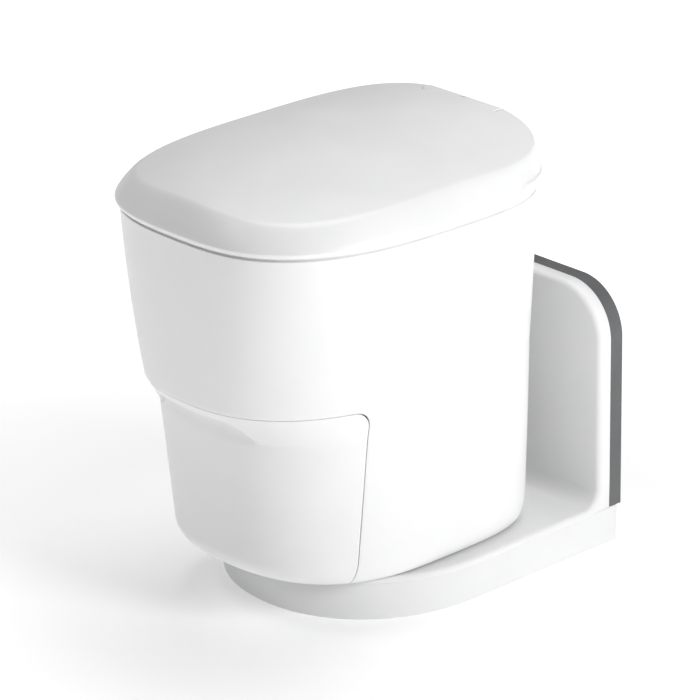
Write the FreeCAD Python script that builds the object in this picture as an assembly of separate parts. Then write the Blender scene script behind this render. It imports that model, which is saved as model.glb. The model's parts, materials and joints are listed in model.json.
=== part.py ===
"""Film-sealing toilet for a motorhome, on a swivelling L-shaped plinth.

Millimetres. +Z is up, -Y is the nose that the user faces, +X is the right-hand side seen
from the nose. The origin is on the floor, on the swivel axis.
"""
import FreeCAD
import Part
import math
import os

V = FreeCAD.Vector

# ---- driving dimensions: the body -------------------------------------------------------
WIDEST_Y = -50.0            # where the body and the lid are widest
BODY_TOP = 487.5
SEAM_Z = 286.0              # seam between the upper body and the bin front
BODY_FOOT = 56.0
TOP_HALF, TOP_NOSE, TOP_REAR, TOP_SQUARE = 191.7, -312.3, 142.3, 2.9
SEAM_HALF, SEAM_NOSE, SEAM_REAR, SEAM_SQUARE = 175.1, -301.0, 149.8, 2.46
FOOT_HALF, FOOT_NOSE, FOOT_REAR, FOOT_SQUARE = 158.0, -290.0, 146.0, 2.3
REAR_SQUARE, REAR_SQUARE_FOOT = 3.28, 4.2
BULGE = 3.0                 # outward swell half-way up the upper body
BAND_H = 38.0               # height of the chamfered band under the seam
BAND_IN = 23.0              # how far the band comes in at the nose
LEAN_IN = 8.0               # how much further the nose comes in down to the foot
TUCK_H = 38.0               # height of the rounding at the foot
TUCK_NOSE, TUCK_SIDE, TUCK_REAR = 62.0, 11.0, 4.0
WALL = 4.0

# ---- driving dimensions: the lid and seat -----------------------------------------------
LID_HALF, LID_NOSE, LID_REAR = 194.9, -316.5, 149.0
LID_SQUARE, LID_REAR_SQUARE = 2.95, 3.28
LID_Z0, LID_EDGE_Z = 489.1, 494.0
LEAN_DEPTH, LEAN_RISE, LEAN_POWER = 24.0, 31.0, 1.25   # how the lid's side leans in above its rim
LEAN_NOSE, LEAN_REAR, LEAN_CORNER = 0.9, 0.04, 0.8     # its share at the nose, rear and corners
CROWN_Z, CROWN_SIDE, CROWN_SIDE_X = 547.5, 20.7, 165.0  # crest, and its fall out to the sides
CROWN_NOSE, CROWN_POWER, CROWN_Y = 26.0, 4.5, 145.0     # its fall towards the nose
LID_WALL = 3.5
DECK_Z = 501.0              # top of the rear deck
REAR_LEDGE_Y, LEDGE_Z = 139.0, 499.2    # sunk part of the deck, under the lid
DECK_RAMP_Y0, DECK_RAMP_Y1 = 28.0, 62.0
DECK_GAP = 2.3              # lid edge above the deck
SEAT_HALF, SEAT_NOSE, SEAT_REAR = 183.0, -305.0, 104.0
SEAT_Z0, SEAT_Z1 = 492.0, 512.0
SEAT_ROUND = 9.0
HOLE_HALF, HOLE_NOSE, HOLE_REAR, HOLE_MID, HOLE_SQUARE = 104.0, -240.0, 42.0, -98.0, 2.2
HINGE_Y, HINGE_Z, HINGE_R, NOTCH_R = 138.0, 530.0, 16.8, 17.7
NOTCH_HALF = 61.5
PIN_R, PIN_HALF, EYE_R, RUNNING = 3.0, 81.0, 5.5, 0.05

# ---- driving dimensions: the plinth -----------------------------------------------------
PLINTH_HALF, PLINTH_NOSE, PLINTH_SQUARE = 171.0, -188.4, 2.11
PLINTH_SEAM, FOOT_TOP = 46.7, 54.0
PANEL_Y0, PANEL_Y1, WALL_Y = 209.0, 228.1, 247.8
PANEL_TOP, PANEL_CORNER, PANEL_DRAFT = 325.8, 66.0, math.radians(1.3)
COVE_R = 22.0
SWIVEL_HOLE_R = 133.0
FLOOR_PLATE_R, FLOOR_PCD, FLOOR_HOLE_R, PLATE_T = 162.0, 292.0, 3.3, 3.0
WALL_SX, WALL_SZ, WALL_MID_Z, WALL_HOLE_R = 220.0, 160.0, 170.0, 2.75
COLUMN_R0, COLUMN_R1, COLUMN_Z = 112.0, 121.0, 44.0
GLIDE_T, GLIDES = 4.0, 8
SPIGOT_R0, SPIGOT_R1, BUSH_R1 = 58.0, 64.0, 71.0
GLAND_X, GLAND_Z, GLAND_R, CABLE_R = 120.0, 72.0, 11.0, 4.0

# ---- driving dimensions: the bin drawer -------------------------------------------------
SPLIT_Y = -163.0            # where the bin front ends on the sides
SPLIT_CORNER = 20.0
SEAM_GAP = 1.2
SCOOP_HALF_TOP, SCOOP_HALF_FOOT, SCOOP_Z1, LIP_T = 46.0, 84.0, 274.5, 11.5
TUB_HALF, TUB_Y0, TUB_Y1, TUB_Z0, TUB_Z1, TUB_WALL = 108.0, -196.0, 84.0, 68.0, 246.0, 2.5
TUB_CORNER, TUB_DRAFT = 28.0, 8.0
SLIDE_X0, SLIDE_T, SLIDE_H, SLIDE_Z = 120.5, 5.0, 22.0, 96.0

# ---- driving dimensions: the film mechanism ---------------------------------------------
MECH_Y = -95.0              # centre of the bowl, the film tube and the jaws
TRAY_Z, TRAY_T = 286.0, 3.0
SHELF_Z, SHELF_T = 391.0, 4.0
BOWL_HALF, BOWL_LONG, NECK_R, BOWL_FOOT, BOWL_WALL = 118.0, 146.0, 82.0, 428.0, 3.0
CARTRIDGE_R0, CARTRIDGE_R1, CARTRIDGE_Z1 = 86.0, 112.0, 426.0
JAW_HALF, JAW_H, JAW_T, JAW_Z0, JAW_OPEN = 108.0, 24.0, 16.0, 345.0, 55.0
ROD_X, ROD_R, ROD_REACH = 124.0, 5.0, 88.0
SCREW_X, SCREW_R = 140.0, 4.0
FRAME_HALF, FRAME_LONG, FRAME_Z0, FRAME_T = 163.0, 88.0, 372.0, 8.0
FRAME_HOLE_HALF, FRAME_HOLE_LONG = 100.0, 68.0
COLUMN_X, GUIDE_R = 153.0, 5.0
FEED_X, FEED_Y, FEED_R = -153.0, -58.0, 4.0
SCREW_BORE_GAP = 0.3
BUTTON_X, BUTTON_Y, BUTTON_R, BUTTON_H = 112.0, 119.0, 6.0, 5.0


def ring_points(z, half, nose, rear, mid, square, rear_square, pull=0.0, steps=14):
    """Closed outline: a superellipse quarter each side of the nose and of the rear.

    pull draws the nose in towards the middle, fading to nothing at the widest place.
    """
    points = []
    for k in range(4 * steps):
        angle = k * math.pi / (2 * steps)
        s, c = math.sin(angle), math.cos(angle)
        power = 2.0 / (square if c >= 0 else rear_square)
        reach = (mid - nose) if c >= 0 else (rear - mid)
        shrink = 1.0 - pull / reach * c * c if c > 0 else 1.0
        x = half * math.copysign(abs(s) ** power, s)
        y = -math.copysign(reach * abs(c) ** power, c)
        points.append(V(x * shrink, mid + y * shrink, z))
    return points


def smooth_wire(points):
    curve = Part.BSplineCurve()
    marks = [k / float(len(points)) for k in range(len(points) + 1)]
    curve.interpolate(Points=points, PeriodicFlag=True, Parameters=marks)
    return Part.Wire([curve.toShape()])


def ring_wire(*args, **kw):
    return smooth_wire(ring_points(*args, **kw))


def loft(wires, ruled=False):
    return Part.makeLoft(wires, True, ruled)


def mix(a, b, t):
    return a + (b - a) * t


def box(x0, x1, y0, y1, z0, z1):
    return Part.makeBox(x1 - x0, y1 - y0, z1 - z0, V(x0, y0, z0))


def rod(r, length, at, axis):
    return Part.makeCylinder(r, length, at, axis)


def tube(r0, r1, length, at, axis):
    return rod(r1, length, at, axis).cut(rod(r0, length, at, axis))


def fuse(shapes):
    return shapes[0].fuse(shapes[1:]) if len(shapes) > 1 else shapes[0]


def both_sides(shape):
    return [shape, shape.mirror(V(0, 0, 0), V(1, 0, 0))]


def rounded_prism(x0, x1, y0, y1, z0, z1, r):
    """Upright block with its four vertical corners rounded."""
    block = box(x0, x1, y0, y1, z0, z1)
    upright = [e for e in block.Edges if abs(e.tangentAt(e.FirstParameter).z) > 0.9]
    return block.makeFillet(r, upright)


def save(name, shape):
    solids = shape.Solids
    out = solids[0] if len(solids) == 1 else Part.makeCompound(solids)
    out.exportStep("parts/%s.step" % name)


# ---- the body's outer form --------------------------------------------------------------
def body_wire(z, inset=0.0):
    if z >= SEAM_Z:
        t = (z - SEAM_Z) / (BODY_TOP - SEAM_Z)
        swell = BULGE * 4 * t * (1 - t)
        half = mix(SEAM_HALF, TOP_HALF, t) + swell / 2
        nose = mix(SEAM_NOSE, TOP_NOSE, t) - swell
        rear = mix(SEAM_REAR, TOP_REAR, t)
        square, rear_square, pull = mix(SEAM_SQUARE, TOP_SQUARE, t), REAR_SQUARE, 0.0
    else:
        t = (SEAM_Z - z) / (SEAM_Z - BODY_FOOT)
        half = mix(SEAM_HALF, FOOT_HALF, t)
        nose = mix(SEAM_NOSE, FOOT_NOSE, t)
        rear = mix(SEAM_REAR, FOOT_REAR, t)
        square = mix(SEAM_SQUARE, FOOT_SQUARE, t)
        rear_square = mix(REAR_SQUARE, REAR_SQUARE_FOOT, t)
        pull = BAND_IN * min(1.0, (SEAM_Z - z) / BAND_H)
        pull += LEAN_IN * max(0.0, (SEAM_Z - BAND_H - z) / (SEAM_Z - BAND_H - BODY_FOOT))
    if z < BODY_FOOT + TUCK_H:
        s = (z - BODY_FOOT) / TUCK_H
        tuck = 1.0 - math.sqrt(max(0.0, 1.0 - (1.0 - s) ** 2))
        pull += (TUCK_NOSE - TUCK_SIDE) * tuck
        half -= TUCK_SIDE * tuck
        nose += TUCK_SIDE * tuck
        rear -= TUCK_REAR * tuck
    return ring_wire(z, half - inset, nose + inset, rear - inset, WIDEST_Y,
                     square, rear_square, pull=pull)


def body_solid(inset, z0, z1):
    """The body's form between two heights, inset all round by a wall thickness."""
    breaks = [BODY_FOOT, BODY_FOOT + TUCK_H, SEAM_Z - BAND_H, SEAM_Z, BODY_TOP]
    spans = []
    for low, high, steps in zip(breaks, breaks[1:], (5, 3, 1, 5)):
        a, b = max(low, z0), min(high, z1)
        if b - a < 0.5:
            continue
        if low == BODY_FOOT:
            share = [1.0 - math.cos(k * math.pi / (2 * steps)) for k in range(steps + 1)]
        else:
            share = [k / float(steps) for k in range(steps + 1)]
        wires = [body_wire(a + (b - a) * s, inset) for s in share]
        spans.append(loft(wires, ruled=len(wires) == 2))
    return fuse(spans)


def front_region(gap):
    """Everything ahead of the side seams and under the top seam, with a round corner."""
    block = box(-260, 260, -420, SPLIT_Y - gap, 20, SEAM_Z - gap)
    corner = [e for e in block.Edges
              if abs(e.CenterOfMass.y - (SPLIT_Y - gap)) < 0.01
              and abs(e.CenterOfMass.z - (SEAM_Z - gap)) < 0.01]
    return block.makeFillet(SPLIT_CORNER, corner)


# ---- plinth -----------------------------------------------------------------------------
def dee_face(z, inset, rear):
    """Plan of the plinth: a round nose, straight sides and a straight rear."""
    half, nose = PLINTH_HALF - inset, PLINTH_NOSE + inset
    steps = 24
    points = []
    for k in range(2 * steps + 1):
        angle = -math.pi / 2 + k * math.pi / (2 * steps)
        s, c = math.sin(angle), math.cos(angle)
        power = 2.0 / PLINTH_SQUARE
        points.append(V(half * math.copysign(abs(s) ** power, s), nose * abs(c) ** power, z))
    curve = Part.BSplineCurve()
    curve.interpolate(Points=points)
    a, b = V(half, rear, z), V(-half, rear, z)
    lines = [Part.LineSegment(points[-1], a), Part.LineSegment(a, b),
             Part.LineSegment(b, points[0])]
    return Part.Face(Part.Wire([curve.toShape()] + [line.toShape() for line in lines]))


def plinth_skirt():
    outer = dee_face(0, 0.7, WALL_Y - 8).extrude(V(0, 0, PLINTH_SEAM))
    inner = dee_face(0, 0.7 + WALL, WALL_Y - 12).extrude(V(0, 0, PLINTH_SEAM))
    return outer.cut(inner)


def panel_face(y, inset):
    """Outline of the back panel: drafted sides and two round top corners."""
    foot, lean = PLINTH_SEAM, math.tan(PANEL_DRAFT)
    top, r = PANEL_TOP - inset, PANEL_CORNER - inset
    half_foot = PLINTH_HALF - 1.4 - inset
    half_top = half_foot - (top - r - foot) * lean
    k = r * math.sin(math.pi / 4)
    a, b = V(half_foot, y, foot), V(half_top, y, top - r)
    c, d = V(half_top - r, y, top), V(r - half_top, y, top)
    e, f = V(-half_top, y, top - r), V(-half_foot, y, foot)
    right = V(half_top - r + k, y, top - r + k)
    left = V(-right.x, y, right.z)
    edges = [Part.LineSegment(a, b), Part.Arc(b, right, c), Part.LineSegment(c, d),
             Part.Arc(d, left, e), Part.LineSegment(e, f), Part.LineSegment(f, a)]
    return Part.Face(Part.Wire([edge.toShape() for edge in edges]))


def adapter_cover():
    """One L-shaped moulding: a foot round the swivel and a hollow panel up the wall."""
    foot = dee_face(PLINTH_SEAM, 0.0, PANEL_Y1).extrude(V(0, 0, FOOT_TOP - PLINTH_SEAM))
    rim = [e for e in foot.Edges if e.CenterOfMass.z > FOOT_TOP - 0.1
           and e.CenterOfMass.y < PANEL_Y1 - 1]
    foot = foot.makeFillet(4.5, rim)
    panel = panel_face(PANEL_Y0, 0.0).extrude(V(0, PANEL_Y1 - PANEL_Y0, 0))
    rim = [e for e in panel.Edges if abs(e.CenterOfMass.y - PANEL_Y0) < 0.1
           and e.CenterOfMass.z > PLINTH_SEAM + 1]
    panel = panel.makeFillet(7.0, rim)
    cove_half = PLINTH_HALF - 12
    cove = box(-cove_half, cove_half, PANEL_Y0 - COVE_R, PANEL_Y0 + 1,
               FOOT_TOP - 1, FOOT_TOP + COVE_R)
    cove = cove.cut(rod(COVE_R, 2 * cove_half,
                        V(-cove_half, PANEL_Y0 - COVE_R, FOOT_TOP + COVE_R), V(1, 0, 0)))
    hollow = panel_face(PANEL_Y0 + WALL, WALL).extrude(V(0, PANEL_Y1 - PANEL_Y0 - WALL, 0))
    hollow = hollow.common(box(-300, 300, 0, 300, FOOT_TOP, 400))
    under = dee_face(PLINTH_SEAM, WALL, PANEL_Y1 - WALL)
    under = under.extrude(V(0, 0, FOOT_TOP - PLINTH_SEAM - WALL))
    hole = rod(SWIVEL_HOLE_R, 40, V(0, 0, PLINTH_SEAM - 5), V(0, 0, 1))
    return fuse([foot, panel, cove]).cut(hollow).cut(under).cut(hole)


def wall_places():
    return [V(x, 0, WALL_MID_Z + z) for x in (-WALL_SX / 2, WALL_SX / 2)
            for z in (-WALL_SZ / 2, WALL_SZ / 2)]


def wall_spacer():
    plate = panel_face(PANEL_Y1, 0.0).extrude(V(0, WALL_Y - PANEL_Y1, 0))
    hollow = panel_face(PANEL_Y1, 2 * WALL).extrude(V(0, WALL_Y - PANEL_Y1 - WALL, 0))
    hollow.translate(V(0, 0, 2 * WALL))
    hollow = hollow.common(panel_face(PANEL_Y1, 2 * WALL).extrude(V(0, 30, 0)))
    plate = plate.cut(hollow)
    for p in wall_places():
        plate = plate.cut(rod(WALL_HOLE_R, 30, V(p.x, PANEL_Y1, p.z), V(0, 1, 0)))
    return plate.cut(rod(GLAND_R - 3, 30, V(GLAND_X, PANEL_Y1, GLAND_Z), V(0, 1, 0)))


def power_gland():
    """Screwed gland in the wall spacer, where the 12 V supply comes in."""
    y = WALL_Y - WALL
    body = rod(GLAND_R, 8, V(GLAND_X, y - 8, GLAND_Z), V(0, 1, 0))
    body = body.fuse(rod(GLAND_R - 3.2, WALL, V(GLAND_X, y, GLAND_Z), V(0, 1, 0)))
    return body.cut(rod(CABLE_R, 20, V(GLAND_X, y - 10, GLAND_Z), V(0, 1, 0)))


def floor_places():
    r = FLOOR_PCD / 2
    return [V(r * math.cos(a), r * math.sin(a), 0)
            for a in [math.pi / 4 + k * math.pi / 2 for k in range(4)]]


def floor_plate():
    plate = rod(FLOOR_PLATE_R, PLATE_T, V(0, 0, 0), V(0, 0, 1))
    for p in floor_places():
        plate = plate.cut(rod(FLOOR_HOLE_R, PLATE_T, p, V(0, 0, 1)))
    return plate


def swivel_column():
    up = V(0, 0, 1)
    wall = tube(COLUMN_R0, COLUMN_R1, COLUMN_Z - PLATE_T, V(0, 0, PLATE_T), up)
    flange = tube(COLUMN_R0 - 8, COLUMN_R0 + 1, 3, V(0, 0, PLATE_T), up)
    return wall.fuse(flange)


def bearing_glides():
    pads = []
    for k in range(GLIDES):
        pad = tube(COLUMN_R0 + 1, COLUMN_R1 - 1, GLIDE_T, V(0, 0, COLUMN_Z), V(0, 0, 1))
        wedge = box(0, 200, -14, 14, 0, 90)
        wedge.rotate(V(0, 0, 0), V(0, 0, 1), k * 360.0 / GLIDES)
        pads.append(pad.common(wedge))
    return Part.makeCompound(pads)


def spigot_bush():
    up = V(0, 0, 1)
    return tube(SPIGOT_R1 + RUNNING, BUSH_R1, 28, V(0, 0, 14), up).fuse(
        tube(BUSH_R1 - 1, BUSH_R1 + 7, 3, V(0, 0, 14), up)).fuse(
        tube(BUSH_R1 + 4, BUSH_R1 + 7, 14 - PLATE_T, V(0, 0, PLATE_T), up))


def swivel_stops():
    stops = []
    for side in (-1, 1):
        block = box(84, 96, -5, 5, PLATE_T, 40)
        block.rotate(V(0, 0, 0), V(0, 0, 1), 90 + side * 100)
        stops.append(block)
    return Part.makeCompound(stops)


# ---- housing ----------------------------------------------------------------------------
def housing_shell():
    shell = body_solid(0.0, BODY_FOOT, BODY_TOP)
    shell = shell.cut(body_solid(WALL, BODY_FOOT, BODY_TOP))
    return shell.cut(front_region(0.0))


def housing_base():
    """Floor of the housing, behind the bin front, with its turntable seat."""
    plate = loft([body_wire(BODY_FOOT, WALL + 0.2), body_wire(BODY_FOOT + 3, WALL + 0.2)])
    plate = plate.cut(box(-300, 300, -400, SPLIT_Y + 6, 0, 100))
    return plate.cut(rod(SPIGOT_R0 - 8, 10, V(0, 0, BODY_FOOT - 2), V(0, 0, 1)))


def swivel_ring():
    up = V(0, 0, 1)
    ring = tube(SPIGOT_R0, COLUMN_R1 + 6, 4, V(0, 0, BODY_FOOT - 4), up)
    race = tube(COLUMN_R0, COLUMN_R1, BODY_FOOT - 4 - COLUMN_Z - GLIDE_T - 0.3,
                V(0, 0, COLUMN_Z + GLIDE_T + 0.3), up)
    spigot = tube(SPIGOT_R0, SPIGOT_R1, BODY_FOOT - 13, V(0, 0, 11), up)
    lug = box(-7, 7, 82, 98, 27, BODY_FOOT - 3)
    return fuse([ring, race, spigot, lug.cut(box(-9, 9, 80, 100, 0, 18))])


def retaining_ring():
    return tube(SPIGOT_R0 - 6, SPIGOT_R1 + 5, 3, V(0, 0, 8), V(0, 0, 1))


def top_rim():
    """Frame under the seat that closes the top of the housing round the bowl."""
    plate = loft([body_wire(BODY_TOP - 6, WALL + 0.2), body_wire(BODY_TOP, WALL + 0.2)])
    mouth = ellipse_prism(BOWL_HALF, BOWL_LONG, BODY_TOP - 8, BODY_TOP + 2)
    return plate.cut(mouth)


def ellipse_wire(half, long, z):
    return ring_wire(z, half, MECH_Y - long, MECH_Y + long, MECH_Y, 2.0, 2.0, steps=10)


def ellipse_prism(half, long, z0, z1):
    return loft([ellipse_wire(half, long, z0), ellipse_wire(half, long, z1)], ruled=True)


def lid_wire(z, inset, depth=0.0):
    """Outline of the lid, drawn in by depth at the sides, and by less of it at the rear."""
    nose = LID_NOSE + inset + depth * LEAN_NOSE
    rear = LID_REAR - inset - depth * LEAN_REAR
    points = []
    for p in ring_points(z, LID_HALF - inset, nose, rear, WIDEST_Y, LID_SQUARE, LID_REAR_SQUARE):
        back = max(0.0, (p.y - WIDEST_Y) / (rear - WIDEST_Y))
        points.append(V(p.x * (1 - depth * (1 - LEAN_CORNER * back ** 2) / LID_HALF), p.y, z))
    return smooth_wire(points)


def deck_ramp(rise):
    """Space above the line on which the lid's edge climbs from the body to the deck."""
    low, high = BODY_TOP + rise, DECK_Z + rise
    corners = [V(-300, -400, low), V(-300, DECK_RAMP_Y0, low), V(-300, DECK_RAMP_Y1, high),
               V(-300, 300, high), V(-300, 300, 600), V(-300, -400, 600)]
    return Part.Face(Part.makePolygon(corners + corners[:1])).extrude(V(600, 0, 0))


def seat_wire(z, inset):
    return ring_wire(z, SEAT_HALF - inset, SEAT_NOSE + inset, SEAT_REAR - inset, WIDEST_Y,
                     LID_SQUARE, LID_REAR_SQUARE)


def rear_deck():
    """Raised rear part of the rim that carries the hinge, open round the seat."""
    deck = loft([body_wire(BODY_TOP, 0.0).translated(V(0, 0, 0)),
                 body_wire(BODY_TOP, 0.6).translated(V(0, 0, DECK_Z - BODY_TOP))], ruled=True)
    deck = deck.cut(deck_ramp(0.0))
    pocket = loft([seat_wire(BODY_TOP - 1, -1.6), seat_wire(DECK_Z + 1, -1.6)], ruled=True)
    deck = deck.cut(pocket).cut(box(-172, 172, 90, REAR_LEDGE_Y, LEDGE_Z, 520))
    well = rod(BUTTON_R + 2.2, 40, V(BUTTON_X, BUTTON_Y, BODY_TOP + 2), V(0, 0, 1))
    return deck.cut(well)


def hinge_block(side):
    """Half of the barrel that carries the pin and one soft-close damper."""
    x0, x1 = 0.4, 60.0
    at = V(x0, HINGE_Y, HINGE_Z)
    barrel = rod(HINGE_R, x1 - x0, at, V(1, 0, 0))
    stem = box(x0, x1, HINGE_Y - 16, HINGE_Y + 1, LEDGE_Z, HINGE_Z)
    block = fuse([barrel, stem])
    block = block.cut(rod(9.0, 46, V(9, HINGE_Y, HINGE_Z), V(1, 0, 0)))
    block = block.cut(rod(PIN_R + RUNNING, 80, at, V(1, 0, 0)))
    return block if side > 0 else block.mirror(V(0, 0, 0), V(1, 0, 0))


def damper(side):
    x0 = 10.0 if side > 0 else -54.0
    body = rod(8.8, 44, V(x0, HINGE_Y, HINGE_Z), V(1, 0, 0))
    return body.cut(rod(PIN_R + RUNNING, 44, V(x0, HINGE_Y, HINGE_Z), V(1, 0, 0)))


def hinge_pin():
    return rod(PIN_R, 2 * PIN_HALF, V(-PIN_HALF, HINGE_Y, HINGE_Z), V(1, 0, 0))


def bowl_form(wall, extra):
    """Solid of the bowl's inside or outside: a straight neck that opens into an oval."""
    foot, top = SHELF_Z + SHELF_T + 3, BODY_TOP + 1.5
    stations = [(foot - extra, 0.0), (BOWL_FOOT, 0.0), (BOWL_FOOT + 14, 0.24),
                (BOWL_FOOT + 30, 0.48), (BOWL_FOOT + 46, 0.8), (BODY_TOP - 4, 1.0),
                (top + extra, 1.0)]
    return loft([ellipse_wire(mix(NECK_R, BOWL_HALF, t) - wall,
                              mix(NECK_R, BOWL_LONG, t) - wall, z)
                 for z, t in stations], ruled=True)


def bowl_funnel():
    flange = ellipse_prism(BOWL_HALF + 7, BOWL_LONG + 7, BODY_TOP + 0.2, BODY_TOP + 1.5)
    return bowl_form(0.3, 0.0).fuse(flange).cut(bowl_form(BOWL_WALL, 2.0))


def film_cartridge():
    """Ring of folded film round the bowl's neck."""
    at, up = V(0, MECH_Y, SHELF_Z + SHELF_T), V(0, 0, 1)
    height = CARTRIDGE_Z1 - at.z
    ring = tube(CARTRIDGE_R0, CARTRIDGE_R1, height, at, up)
    slot = tube(CARTRIDGE_R0 - 1, CARTRIDGE_R0 + 4, 6, at.add(V(0, 0, height - 12)), up)
    grip = tube(CARTRIDGE_R1 - 3, CARTRIDGE_R1 + 1, 8, at.add(V(0, 0, 12)), up)
    return ring.cut(slot).cut(grip)


def film_tube():
    """The film's open sleeve between the bowl's neck and the jaws."""
    at, up = V(0, MECH_Y, SHELF_Z - 8), V(0, 0, 1)
    return tube(46.0, 46.8, SHELF_T + 6, at, up)


def body_plate(z, thick, inset):
    return loft([body_wire(z, inset), body_wire(z + thick, inset)], ruled=True)


def chute_tray():
    plate = body_plate(TRAY_Z, TRAY_T, WALL + 0.3)
    hole = box(-FRAME_HOLE_HALF, FRAME_HOLE_HALF, MECH_Y - FRAME_HOLE_LONG,
               MECH_Y + FRAME_HOLE_LONG, TRAY_Z - 1, TRAY_Z + 9)
    return plate.cut(hole)


def cartridge_shelf():
    plate = body_plate(SHELF_Z, SHELF_T, WALL + 0.3)
    return plate.cut(rod(NECK_R - 14, 20, V(0, MECH_Y, SHELF_Z - 5), V(0, 0, 1)))


def post_places():
    return [V(x, y, 0) for x, y in ((-132, -198), (132, -198), (-146, 36), (146, 36))]


def spacer_posts():
    height = SHELF_Z - TRAY_Z - TRAY_T
    return Part.makeCompound([rod(6, height, V(p.x, p.y, TRAY_Z + TRAY_T), V(0, 0, 1))
                              for p in post_places()])


def side_plate(side):
    """Upright plate that carries the tray and the bin's runner."""
    z0 = BODY_FOOT + 3
    plate = box(SLIDE_X0 + 9.5, SLIDE_X0 + 12.5, SPLIT_Y + 22, 96, z0, TRAY_Z)
    windows = [box(SLIDE_X0, SLIDE_X0 + 20, y, y + 58, 150, 250) for y in (-110, -36, 38 - 8)]
    for window in windows:
        plate = plate.cut(window)
    return plate if side > 0 else plate.mirror(V(0, 0, 0), V(1, 0, 0))


def bin_runner(side):
    """Fixed outer channel of the bin's slide."""
    x = SLIDE_X0 + 3.5
    channel = box(x, x + 6, SPLIT_Y + 22, 90, SLIDE_Z - 4, SLIDE_Z + SLIDE_H + 4)
    slot = box(x - 1, x + 3, SPLIT_Y, 100, SLIDE_Z - 0.6, SLIDE_Z + SLIDE_H + 0.6)
    channel = channel.cut(slot)
    return channel if side > 0 else channel.mirror(V(0, 0, 0), V(1, 0, 0))


def guide_columns():
    height = SHELF_Z - TRAY_Z - TRAY_T
    places = [V(COLUMN_X, MECH_Y, TRAY_Z + TRAY_T), V(-COLUMN_X, MECH_Y, TRAY_Z + TRAY_T)]
    return Part.makeCompound([rod(GUIDE_R, height, p, V(0, 0, 1)) for p in places])


def feed_motor():
    at = V(FEED_X, FEED_Y, SHELF_Z + SHELF_T)
    body = rod(14, 34, at, V(0, 0, 1)).fuse(rod(11, 10, at.add(V(0, 0, 34)), V(0, 0, 1)))
    return body


def feed_screw():
    foot = V(FEED_X, FEED_Y, TRAY_Z + TRAY_T + 0.5)
    return rod(FEED_R, SHELF_Z - foot.z - 0.5, foot, V(0, 0, 1))


def feed_frame():
    """Frame that draws the film down, riding on two columns."""
    y0, y1 = MECH_Y - FRAME_LONG, MECH_Y + FRAME_LONG
    frame = rounded_prism(-FRAME_HALF, FRAME_HALF, y0, y1, FRAME_Z0, FRAME_Z0 + FRAME_T, 26)
    hole = rounded_prism(-FRAME_HOLE_HALF, FRAME_HOLE_HALF, MECH_Y - FRAME_HOLE_LONG,
                         MECH_Y + FRAME_HOLE_LONG, FRAME_Z0 - 1, FRAME_Z0 + FRAME_T + 1, 12)
    ears = [box(x - 7, x + 7, y, y + 8, JAW_Z0 + JAW_H / 2 - 8, FRAME_Z0)
            for x in (-ROD_X, ROD_X) for y in (y0, y1 - 8)]
    frame = fuse([frame] + ears).cut(hole)
    for x in (-ROD_X, ROD_X):
        frame = frame.cut(rod(ROD_R, 400, V(x, MECH_Y - 200, JAW_Z0 + JAW_H / 2), V(0, 1, 0)))
    up = V(0, 0, 1)
    for x in (-COLUMN_X, COLUMN_X):
        frame = frame.cut(rod(GUIDE_R + RUNNING, 60, V(x, MECH_Y, FRAME_Z0 - 20), up))
    return frame.cut(rod(FEED_R + SCREW_BORE_GAP, 60, V(FEED_X, FEED_Y, FRAME_Z0 - 20), up))


def jaw_rods():
    at = JAW_Z0 + JAW_H / 2
    return Part.makeCompound([rod(ROD_R, 2 * FRAME_LONG, V(x, MECH_Y - FRAME_LONG, at),
                                  V(0, 1, 0)) for x in (-ROD_X, ROD_X)])


def jaw_screw():
    return rod(SCREW_R, 2 * FRAME_LONG - 14, V(SCREW_X, MECH_Y - FRAME_LONG + 2,
                                               JAW_Z0 + JAW_H / 2), V(0, 1, 0))


def jaw_motor():
    z = JAW_Z0 + JAW_H / 2
    y0 = MECH_Y + FRAME_LONG - 10
    can = rod(8.5, 38, V(SCREW_X, y0, z), V(0, 1, 0))
    tab = box(SCREW_X - 7, SCREW_X + 8, y0, y0 + 9, z, FRAME_Z0)
    return fuse([can, tab])


def jaw(side):
    """One jaw's bar with its bearings on the rods and its nut on the screw."""
    face = MECH_Y + side * JAW_OPEN
    y0, y1 = sorted((face, face + side * JAW_T))
    z = JAW_Z0 + JAW_H / 2
    bar = box(-ROD_X - 8, SCREW_X + 7, y0, y1, JAW_Z0, JAW_Z0 + JAW_H)
    bar = bar.cut(box(SCREW_X - 9, SCREW_X + 20, y0 - 1, y1 + 1, JAW_Z0 - 1, z - 8))
    for x, r in ((-ROD_X, ROD_R + RUNNING), (ROD_X, ROD_R + RUNNING),
                 (SCREW_X, SCREW_R + SCREW_BORE_GAP)):
        bar = bar.cut(rod(r, 60, V(x, (y0 + y1) / 2 - 30, z), V(0, 1, 0)))
    return bar


def jaw_face(side, thick):
    """Strip on the jaw's inner face: the heater on one jaw, the pad on the other."""
    face = MECH_Y + side * JAW_OPEN
    y0, y1 = sorted((face, face - side * thick))
    return box(-JAW_HALF, JAW_HALF, y0, y1, JAW_Z0 + 6, JAW_Z0 + JAW_H - 6)


def control_board():
    board = box(-70, 70, 118, 119.6, 190, 270)
    parts = [box(-60, -40, 119.6, 128, 240, 262), box(-20, 10, 119.6, 123, 210, 240),
             box(30, 58, 119.6, 131, 200, 214), box(36, 52, 119.6, 126, 235, 255)]
    return fuse([board] + parts)


def board_cover():
    outer = rounded_prism(-78, 78, 100, 116, 182, 278, 4)
    inner = rounded_prism(-75, 75, 103, 118, 185, 275, 3)
    return outer.cut(inner)


def board_posts():
    return Part.makeCompound([rod(3, 22.8, V(x, 119.6, z), V(0, 1, 0))
                              for x in (-64, 64) for z in (196, 264)])


def limit_switches():
    y = MECH_Y - FRAME_LONG - 14
    z = TRAY_Z + TRAY_T
    return Part.makeCompound([box(x - 10, x + 10, y - 6, y, z, z + 16) for x in (-60, 60)])


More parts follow.
